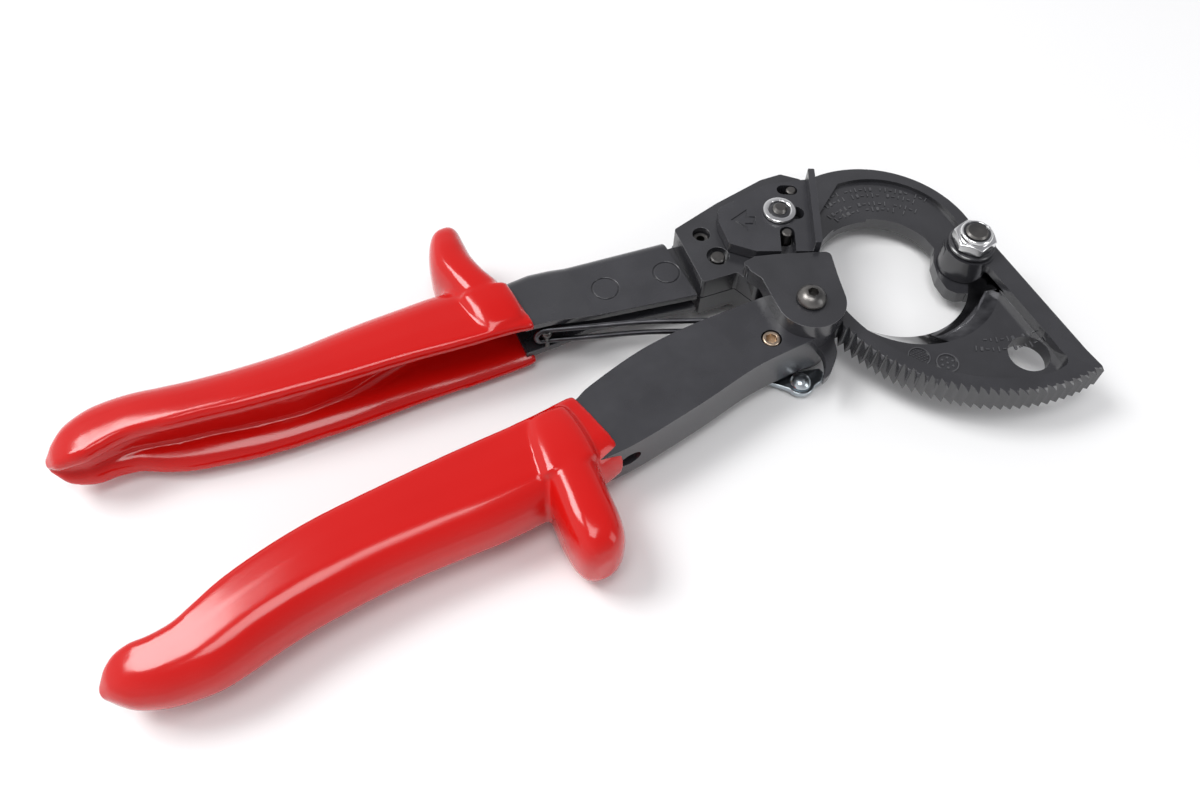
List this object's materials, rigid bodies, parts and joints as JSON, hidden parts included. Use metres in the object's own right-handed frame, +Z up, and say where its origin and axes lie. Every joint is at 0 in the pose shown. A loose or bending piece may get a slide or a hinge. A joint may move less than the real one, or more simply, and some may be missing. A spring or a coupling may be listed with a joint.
{
  "type": "ratcheting cable cutter",
  "caption": "Hand cable cutter: crescent jaw, toothed ratchet blade on a pivot nut, slide release lever, channel handles with red dipped grips and thumb guards.",
  "frame": {"origin": "middle of the tool's footprint as it lies on its side, on the surface it lies on", "axes": "+X along the tool towards the jaws, +Y from the moving handle towards the fixed handle, +Z up, away from the surface"},
  "size_m": [0.2456, 0.1094, 0.0248],
  "materials": {
    "cast_black": "glossy black coating on cast and forged steel",
    "sheet_black": "semi-gloss dark grey coating on pressed steel",
    "red_vinyl": "glossy dipped vinyl",
    "bright_zinc": "bright zinc plating",
    "dark_steel": "oiled dark steel",
    "bronze": "satin"
  },
  "bodies": {
    "frame": {"fixed_jaw": "cast_black", "frame_cover": "cast_black", "jaw_pivot_bolt": "dark_steel", "jaw_pivot_washer": "cast_black", "jaw_pivot_nut": "bright_zinc", "handle_pivot_bolt": "dark_steel", "handle_pivot_nut": "dark_steel", "pivot_sleeve": "bright_zinc", "lever_guide_bolt": "dark_steel", "lever_guide_washer": "bright_zinc", "frame_pin": "dark_steel", "fixed_handle": "sheet_black", "tang_rivet_front": "sheet_black", "tang_rivet_rear": "sheet_black", "fixed_grip": "red_vinyl", "spring_anchor_pin": "bright_zinc", "handle_spring": "dark_steel", "holding_pawl_spring": "dark_steel"},
    "blade": {"moving_blade": "cast_black"},
    "handle": {"moving_handle": "sheet_black", "moving_grip": "red_vinyl", "drive_pawl_pin": "bronze", "drive_pawl_spring": "dark_steel"},
    "feed_pawl": {"drive_pawl": "dark_steel"},
    "lock": {"lock_plate": "bright_zinc", "lock_knob": "bright_zinc"},
    "lever": {"release_lever": "sheet_black"},
    "stop_pawl": {"holding_pawl": "dark_steel", "pawl_pin_upper": "dark_steel", "pawl_pin_lower": "dark_steel"}
  },
  "joints": [
    {"name": "blade_hinge", "type": "hinge", "parent": "frame", "child": "blade", "pos_m": [0.1108, -0.0075, 0.012], "axis": [0, 0, 1], "range_deg": [-91, 60]},
    {"name": "handle_hinge", "type": "hinge", "parent": "frame", "child": "handle", "pos_m": [0.0585, -0.0089, 0.0111], "axis": [0, 0, 1], "range_deg": [-11, 0], "stiffness_Nm_per_rad": 1, "springref_deg": 20.05, "deforming": ["handle_spring", "drive_pawl_spring"]},
    {"name": "feed_pawl_hinge", "type": "hinge", "parent": "handle", "child": "feed_pawl", "pos_m": [0.0456, -0.0127, 0.0111], "axis": [0, 0, 1], "range_deg": [0, 4], "stiffness_Nm_per_rad": 0.02, "springref_deg": -17.19},
    {"name": "lock_hinge", "type": "hinge", "parent": "handle", "child": "lock", "pos_m": [0.0456, -0.0127, 0.0019], "axis": [0, 0, 1], "range_deg": [-20, 0]},
    {"name": "lever_slide", "type": "slide", "parent": "frame", "child": "lever", "axis": [-0.891, 0.454, 0], "range_m": [0, 0.003], "stiffness_N_per_m": 400, "springref_m": -0.004, "deforming": ["holding_pawl_spring"]},
    {"name": "stop_pawl_slide", "type": "slide", "parent": "frame", "child": "stop_pawl", "axis": [-0.891, 0.454, 0], "range_m": [0, 0.003]}
  ],
  "couplings": [
    {"joint": "stop_pawl_slide", "follows": "lever_slide", "ratio": 1}
  ]
}
